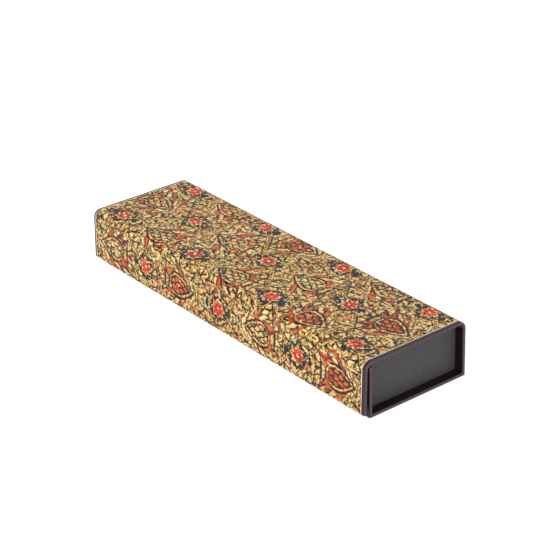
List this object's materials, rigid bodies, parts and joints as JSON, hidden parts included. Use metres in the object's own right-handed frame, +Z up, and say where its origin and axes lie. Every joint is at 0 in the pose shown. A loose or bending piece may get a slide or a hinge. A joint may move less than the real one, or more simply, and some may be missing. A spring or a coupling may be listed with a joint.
{
  "type": "hard pencil case",
  "caption": "Long paper-covered board case with a glued-in tray, a lid that turns on a rounded back fold and a front flap held shut by hidden magnets.",
  "frame": {"origin": "middle of the shut case's bounding box, on the surface it stands on", "axes": "+X along the length, +Y from the front flap to the spine, +Z up"},
  "size_m": [0.22, 0.0635, 0.0296],
  "materials": {
    "printed_paper": "satin printed paper with metallic gold, plum where it turns in at the edges",
    "tray_paper": "matt dark grey, fine laid texture",
    "lining_paper": "matt plain plum",
    "greyboard": "matt",
    "tray_board": "matt",
    "fold_card": "matt, soft",
    "magnet": "bright nickel plate"
  },
  "bodies": {
    "case": {"base_board": "greyboard", "spine_board": "greyboard", "front_board": "greyboard", "front_magnets": "magnet", "base_cover": "printed_paper", "spine_cover": "printed_paper", "front_cover": "printed_paper", "tray_floor": "tray_board", "tray_front_wall": "tray_board", "tray_back_wall": "tray_board", "tray_left_wall": "tray_board", "tray_right_wall": "tray_board", "tray_cover": "tray_paper", "tray_lining": "lining_paper", "back_fold_core": "fold_card", "back_fold_cover": "printed_paper", "back_fold_lining": "lining_paper"},
    "lid": {"lid_board": "greyboard", "lid_cover": "printed_paper", "lid_lining": "lining_paper", "front_fold_core": "fold_card", "front_fold_cover": "printed_paper", "front_fold_lining": "lining_paper"},
    "flap": {"flap_board": "greyboard", "flap_cover": "printed_paper", "flap_lining": "lining_paper", "flap_magnets": "magnet"}
  },
  "joints": [
    {"name": "lid_hinge", "type": "hinge", "parent": "case", "child": "lid", "pos_m": [0, 0.0303, 0.02815], "axis": [-1, 0, 0], "range_deg": [0, 180], "deforming": ["back_fold_core", "back_fold_cover", "back_fold_lining"]},
    {"name": "flap_hinge", "type": "hinge", "parent": "lid", "child": "flap", "pos_m": [0, -0.02929, 0.02811], "axis": [-1, 0, 0], "range_deg": [0, 95], "deforming": ["front_fold_core", "front_fold_cover", "front_fold_lining"]}
  ]
}
